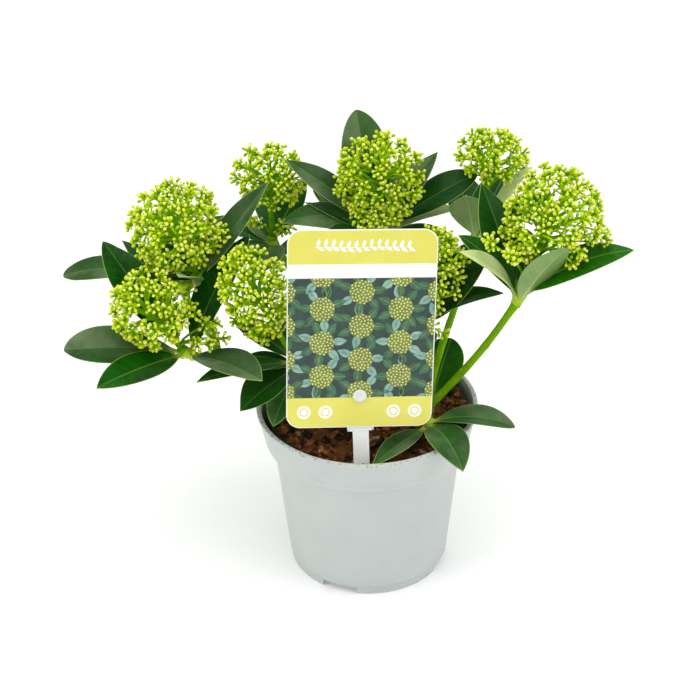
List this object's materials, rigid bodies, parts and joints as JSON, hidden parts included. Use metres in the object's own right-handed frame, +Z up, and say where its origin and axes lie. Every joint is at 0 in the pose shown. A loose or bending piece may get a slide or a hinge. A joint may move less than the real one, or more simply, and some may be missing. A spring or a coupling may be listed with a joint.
{
  "type": "potted japanese skimmia",
  "caption": "Low evergreen shrub with whorls of oval leaves and domed heads of small flower buds, in a round tapered nursery pot with a plain plant label.",
  "frame": {"origin": "the middle of the box round the whole plant, on the ground that the pot stands on; the pot stands to the front and right of it, because the crown leans back and to the left", "axes": "+Z up; the plant label faces -Y; +X to the right as seen from the label side"},
  "size_m": [0.3282, 0.2452, 0.2548],
  "materials": {
    "pot": "pale grey-green, semi-matt",
    "mix": "damp bark and peat, rough",
    "card": "printed card film, semi-gloss",
    "stake": "white, smooth",
    "bark": "young bark, matt",
    "stem": "green bark, smooth",
    "leaf": "leathery leaf, satin",
    "flower": "flower buds and green stalks, satin"
  },
  "bodies": {
    "root": {"pot": "pot", "potting_mix": "mix", "label_card": "card", "label_stake": "stake", "trunk": "bark", "right_trunk": "bark", "left_bough": "stem", "front_left_bough": "stem", "back_left_bough": "stem", "front_right_bough": "stem", "rear_bough": "stem", "right_bough": "stem", "back_right_bough": "stem", "upper_left_bough": "stem", "rear_left_bough": "stem", "centre_leaves": "leaf", "upper_left_leaves": "leaf", "lower_left_leaves": "leaf", "back_left_leaves": "leaf", "front_left_leaves": "leaf", "back_right_leaves": "leaf", "right_leaves": "leaf", "front_right_leaves": "leaf", "rear_leaves": "leaf", "rear_left_leaves": "leaf", "basal_right_leaves": "leaf", "basal_rear_leaves": "leaf", "centre_flowers": "flower", "upper_left_flowers": "flower", "lower_left_flowers": "flower", "back_left_flowers": "flower", "front_left_flowers": "flower", "back_right_flowers": "flower", "right_flowers": "flower", "front_right_flowers": "flower", "rear_flowers": "flower", "rear_left_flowers": "flower"}
  },
  "joints": []
}
